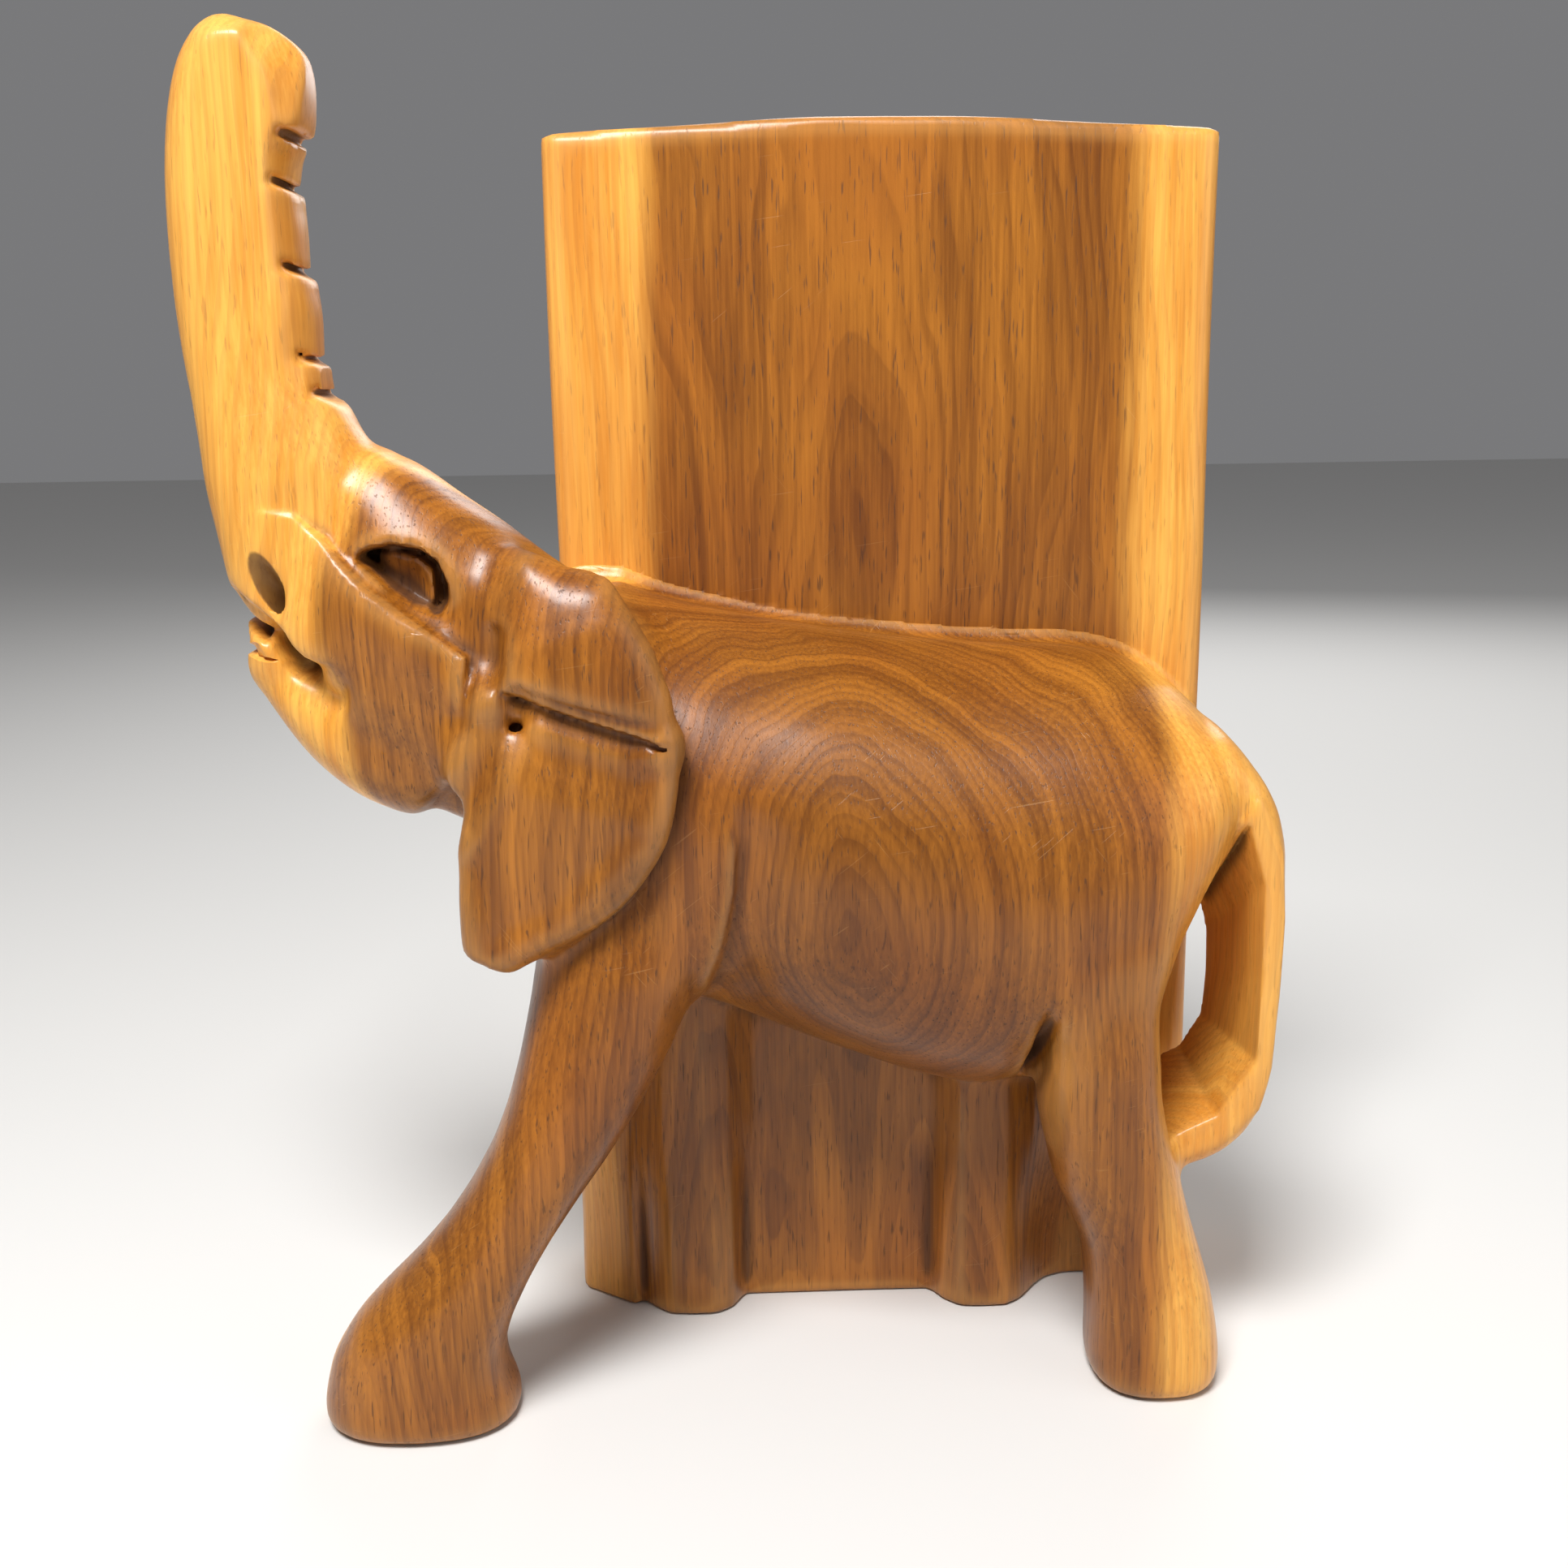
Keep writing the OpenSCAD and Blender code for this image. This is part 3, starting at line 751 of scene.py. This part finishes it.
# Where the pale sapwood starts: at the trunk's side, which slants as it comes forward, and at the tail's side
SAP_LEFT, SAP_LEFT_SLOPE = -43.5, 1.33
SAP_RIGHT = 45.5

HEART_DARK = (0.19, 0.060, 0.006, 1)
HEART_LIGHT = (0.43, 0.155, 0.016, 1)
HEART_LATE = (0.09, 0.024, 0.004, 1)
HEART_CORE = (0.42, 0.36, 0.32, 1)
SAP_DARK = (0.66, 0.26, 0.030, 1)
SAP_LIGHT = (0.90, 0.47, 0.090, 1)
SAP_LATE = (0.42, 0.18, 0.045, 1)
PORE = (0.05, 0.018, 0.006, 1)
CLOUD = (0.60, 0.28, 0.08, 1)
SCRATCH = (0.74, 0.42, 0.15, 1)
WORN = (0.66, 0.34, 0.10, 1)
# Near-black painted into hollows, creases and the tusk sockets: painted shade
PAINTED_HOLLOW_SHADE = (0.045, 0.016, 0.006, 1)
SCRATCH_ANGLES = (38, -52, 8)


class Graph:
    """Short words for building a material's nodes."""

    def __init__(self, material):
        self.tree = material.node_tree
        self.shader = self.tree.nodes["Principled BSDF"]

    def node(self, kind, **settings):
        node = self.tree.nodes.new(kind)
        for name, value in settings.items():
            setattr(node, name, value)
        return node

    def feed(self, socket, value):
        if isinstance(value, bpy.types.NodeSocket):
            self.tree.links.new(value, socket)
        else:
            socket.default_value = value

    def maths(self, operation, *values):
        node = self.node("ShaderNodeMath", operation=operation)
        for socket, value in zip(node.inputs, values):
            self.feed(socket, value)
        return node.outputs[0]

    def stretch(self, vector, scale):
        node = self.node("ShaderNodeVectorMath", operation="MULTIPLY")
        self.feed(node.inputs[0], vector)
        node.inputs[1].default_value = scale
        return node.outputs[0]

    def turned(self, vector, angles):
        node = self.node("ShaderNodeMapping")
        self.feed(node.inputs["Vector"], vector)
        node.inputs["Rotation"].default_value = [math.radians(angle) for angle in angles]
        return node.outputs[0]

    def noise(self, vector, detail=2.0, roughness=0.5):
        node = self.node("ShaderNodeTexNoise")
        self.feed(node.inputs["Vector"], vector)
        node.inputs["Scale"].default_value = 1.0
        node.inputs["Detail"].default_value = detail
        node.inputs["Roughness"].default_value = roughness
        return node.outputs["Fac"]

    def wander(self, vector, detail, size):
        """Random values to both sides of 0."""
        return self.maths("MULTIPLY", self.maths("SUBTRACT", self.noise(vector, detail), 0.5), size)

    def between(self, value, low, high, start=0.0, end=1.0):
        """start at low, end at high, and a smooth rise between them."""
        node = self.node("ShaderNodeMapRange", interpolation_type="SMOOTHSTEP")
        for socket, number in zip(node.inputs, (value, low, high, start, end)):
            self.feed(socket, number)
        return node.outputs[0]

    def mixed(self, fac, a, b, blend="MIX"):
        node = self.node("ShaderNodeMix", data_type="RGBA", blend_type=blend)
        self.feed(node.inputs[0], fac)
        self.feed(node.inputs[6], a)
        self.feed(node.inputs[7], b)
        return node.outputs[2]


def rings(g, x, y, z, place):
    """Distance from the pith, which runs up just in front of the flank and leans outwards, with some wander."""
    wander = g.wander(g.stretch(place, (0.03, 0.03, 0.009)), 2, 16)
    ripple = g.wander(g.stretch(place, (0.12, 0.12, 0.02)), 2, 2.6)
    dx = g.maths("SUBTRACT", x, PITH[0])
    forward = g.between(y, FACE_Y - 30, FACE_Y, 1.0, 0.0)
    lean = g.maths("MULTIPLY", g.maths("SUBTRACT", z, PITH[2]), g.maths("MULTIPLY", forward, PITH_LEAN))
    dy = g.maths("ADD", g.maths("SUBTRACT", y, PITH[1]), lean)
    across = g.maths("SQRT", g.maths("ADD", g.maths("MULTIPLY", dx, dx), g.maths("MULTIPLY", dy, dy)))
    return g.maths("ADD", g.maths("ADD", across, wander), ripple)


def sap_share(g, x, y, place):
    """1 in the pale outer wood at both sides of the block, 0 in the brown heart."""
    wave = g.wander(g.stretch(place, (0.05, 0.05, 0.012)), 3, 7)
    depth = g.maths("MINIMUM", g.maths("SUBTRACT", y, FACE_Y), 0.0)
    left = g.maths("SUBTRACT", g.maths("MULTIPLY_ADD", depth, SAP_LEFT_SLOPE, SAP_LEFT), x)
    right = g.maths("SUBTRACT", x, SAP_RIGHT)
    beyond = g.maths("ADD", g.maths("MAXIMUM", left, right), wave)
    return g.between(beyond, -3.0, 3.0)


def ring_bands(g, radius, z):
    """Broad bands, each of some years' growth, that change slowly along the trunk."""
    band = g.node("ShaderNodeCombineXYZ")
    g.feed(band.inputs[0], g.maths("MULTIPLY", radius, 0.22))
    g.feed(band.inputs[1], g.maths("MULTIPLY", z, 0.006))
    return g.noise(band.outputs[0], 4, 0.6)


def scratch_marks(g, place):
    """Fine scratches in a few directions, here and there."""
    mask = g.between(g.noise(g.stretch(place, (0.04, 0.04, 0.04)), 2), 0.48, 0.62)
    marks = 0.0
    for angle in SCRATCH_ANGLES:
        line = g.noise(g.stretch(g.turned(place, (0, angle, 0)), (0.07, 0.5, 3.2)), 1)
        marks = g.maths("MAXIMUM", marks, g.between(line, 0.73, 0.77))
    return g.maths("MULTIPLY", marks, mask)


def fresh_colour(g, radius, late, bands, fibre, sap):
    """Brown heart and pale sapwood, each with darker late wood, and the heart darkest round the pith."""
    tone = g.maths("MULTIPLY_ADD", g.between(bands, 0.25, 0.75), 0.42, g.maths("MULTIPLY", fibre, 0.58))
    heart = g.mixed(g.between(tone, 0.22, 0.82), HEART_DARK, HEART_LIGHT)
    heart = g.mixed(g.maths("MULTIPLY", late, g.between(bands, 0.2, 0.7, 0.5, 0.2)), heart, HEART_LATE)
    heart = g.mixed(g.between(radius, 8, 62, 0.55, 0.0), heart, HEART_CORE, "MULTIPLY")
    pale = g.mixed(g.between(tone, 0.2, 0.8), SAP_DARK, SAP_LIGHT)
    pale = g.mixed(g.maths("MULTIPLY", late, 0.22), pale, SAP_LATE)
    return g.mixed(sap, heart, pale)


def wood(name):
    material = bpy.data.materials.new(name)
    material.use_nodes = True
    g = Graph(material)
    place = g.stretch(g.node("ShaderNodeTexCoord").outputs["Object"], (1 / MM, 1 / MM, 1 / MM))
    split_place = g.node("ShaderNodeSeparateXYZ")
    g.feed(split_place.inputs[0], place)
    x, y, z = split_place.outputs
    relief_there = g.node("ShaderNodeAttribute", attribute_name="relief").outputs["Fac"]

    radius = rings(g, x, y, z, place)
    turn = g.maths("FRACT", g.maths("DIVIDE", radius, RING))
    late = g.maths("MULTIPLY", g.between(turn, 0.35, 0.93), g.between(turn, 0.93, 1.0, 1.0, 0.0))
    bands = ring_bands(g, radius, z)
    fibre = g.noise(g.stretch(place, (1.5, 1.5, 0.045)), 3, 0.6)
    pores = g.between(g.noise(g.stretch(place, (2.6, 2.6, 0.20)), 1), 0.62, 0.74)
    cloud = g.noise(g.stretch(place, (0.035, 0.035, 0.022)), 3)
    sap = sap_share(g, x, y, place)
    scratches = scratch_marks(g, place)

    colour = fresh_colour(g, radius, late, bands, fibre, sap)
    pore_depth = g.maths("MULTIPLY", pores, g.maths("MULTIPLY_ADD", sap, -0.35, 0.6))
    colour = g.mixed(pore_depth, colour, PORE)
    colour = g.mixed(g.between(cloud, 0.35, 0.7, 0.0, 0.28), colour, CLOUD, "MULTIPLY")
    colour = g.mixed(g.maths("MULTIPLY", scratches, 0.12), colour, SCRATCH)
    colour = g.mixed(g.between(relief_there, 0.12, 0.6, 0.0, 0.25), colour, WORN)
    # Painted shade: the deeper a hollow or crease, the nearer the wood goes to near-black
    colour = g.mixed(g.between(relief_there, -0.12, -0.7, 0.0, 0.75), colour, PAINTED_HOLLOW_SHADE)
    g.feed(g.shader.inputs["Base Color"], colour)

    rough = g.maths("MULTIPLY_ADD", cloud, 0.16, 0.26)
    rough = g.maths("ADD", rough, g.between(relief_there, -0.05, -0.5, 0.0, 0.35))
    g.feed(g.shader.inputs["Roughness"], g.maths("MULTIPLY_ADD", pores, 0.2, rough))
    g.shader.inputs["Specular IOR Level"].default_value = 0.35
    g.shader.inputs["Coat Weight"].default_value = 0.12
    g.shader.inputs["Coat Roughness"].default_value = 0.22

    height = g.maths("MULTIPLY_ADD", fibre, 0.5, g.maths("MULTIPLY", pores, -0.5))
    height = g.maths("MULTIPLY_ADD", late, -0.15, height)
    height = g.maths("MULTIPLY_ADD", scratches, -0.4, height)
    bump = g.node("ShaderNodeBump")
    bump.inputs["Strength"].default_value = 0.35
    bump.inputs["Distance"].default_value = 0.12 * MM
    g.feed(bump.inputs["Height"], height)
    g.feed(g.shader.inputs["Normal"], bump.outputs[0])
    return material


# ---------------------------------------------------------------- floor, light and camera

FLOOR_SIZE = 6.0


def floor():
    half = FLOOR_SIZE / 2
    corners = [(-half, -half, 0), (half, -half, 0), (half, half, 0), (-half, half, 0)]
    mesh = bpy.data.meshes.new("floor")
    mesh.from_pydata(corners, [], [(0, 1, 2, 3)])
    plane = bpy.data.objects.new("floor", mesh)
    bpy.context.scene.collection.objects.link(plane)
    paint = bpy.data.materials.new("floor")
    paint.use_nodes = True
    shader = paint.node_tree.nodes["Principled BSDF"]
    shader.inputs["Base Color"].default_value = (0.72, 0.71, 0.69, 1)
    shader.inputs["Roughness"].default_value = 0.85
    mesh.materials.append(paint)


def softbox(name, place, size, power):
    """A square light that faces the middle of the elephant."""
    data = bpy.data.lights.new(name, "AREA")
    data.size = size
    data.energy = power
    lamp = bpy.data.objects.new(name, data)
    bpy.context.scene.collection.objects.link(lamp)
    lamp.location = place
    aim = Vector((0, -0.03, 0.11))
    lamp.rotation_euler = (aim - Vector(place)).to_track_quat("-Z", "Y").to_euler()


def studio():
    softbox("key", (-0.16, -0.42, 0.78), 0.28, 9.5)
    softbox("fill", (0.75, -0.55, 0.45), 0.7, 1.8)
    softbox("back", (0.25, 0.8, 0.6), 0.6, 3.5)
    world = bpy.data.worlds.new("studio")
    world.use_nodes = True
    background = world.node_tree.nodes["Background"]
    background.inputs["Color"].default_value = (0.8, 0.8, 0.82, 1)
    background.inputs["Strength"].default_value = 0.24
    bpy.context.scene.world = world
    bpy.context.scene.view_settings.view_transform = "Standard"


CAMERA_AT = (-30.3, -333.6, 180.8)
CAMERA_YAW = 1.98
CAMERA_PITCH = 13.28
CAMERA_ROLL = -0.79
CAMERA_LENS = 40.06


def camera():
    """The photograph's camera: a phone a third of a metre in front of the elephant, and a little above it."""
    yaw, pitch, roll = (math.radians(angle) for angle in (CAMERA_YAW, CAMERA_PITCH, CAMERA_ROLL))
    forward = Vector((math.sin(yaw) * math.cos(pitch), math.cos(yaw) * math.cos(pitch), -math.sin(pitch)))
    level = Vector((math.cos(yaw), -math.sin(yaw), 0))
    upright = level.cross(forward)
    right = level * math.cos(roll) + upright * math.sin(roll)
    up = upright * math.cos(roll) - level * math.sin(roll)
    data = bpy.data.cameras.new("camera")
    data.lens = CAMERA_LENS
    data.sensor_width = 36
    data.clip_start = 0.01
    eye = bpy.data.objects.new("camera", data)
    bpy.context.scene.collection.objects.link(eye)
    turn = Matrix((right, up, -forward)).transposed().to_4x4()
    eye.matrix_world = Matrix.Translation(Vector(CAMERA_AT) * MM) @ turn
    bpy.context.scene.camera = eye


# ---------------------------------------------------------------- the whole scene

SMOOTH_UP_TO = math.radians(50)


def elephant():
    solids = {name: node_field(name) for name in [BOARD] + ELEPHANT}
    for name in ("body", "far_front_leg", "far_hind_leg"):
        solids[name] = carried_behind_face(solids[name])
    field = carve(solids)
    slab, slab_layer = board_slab()
    skin = mesh_of(field, "skin", FIRST, STEP)
    layers = [(field, blurred(field, 1.8), FIRST, STEP), slab_layer]
    slots = {part["node"]: part["material_slot"] for part in frame["record"]["subparts"]}
    looks = {slot: wood(slot) for slot in sorted(set(slots.values()))}
    for name, piece in members(skin, slab).items():
        drop_crumbs(piece)
        piece.data.materials.clear()
        piece.data.materials.append(looks[slots[name]])
        piece.data.shade_smooth()
        piece.data.set_sharp_from_angle(angle=SMOOTH_UP_TO)
        note_relief(piece, layers)
        piece.name = "carved_" + name
        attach(piece, "root")
        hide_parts(name)


elephant()
floor()
studio()
camera()
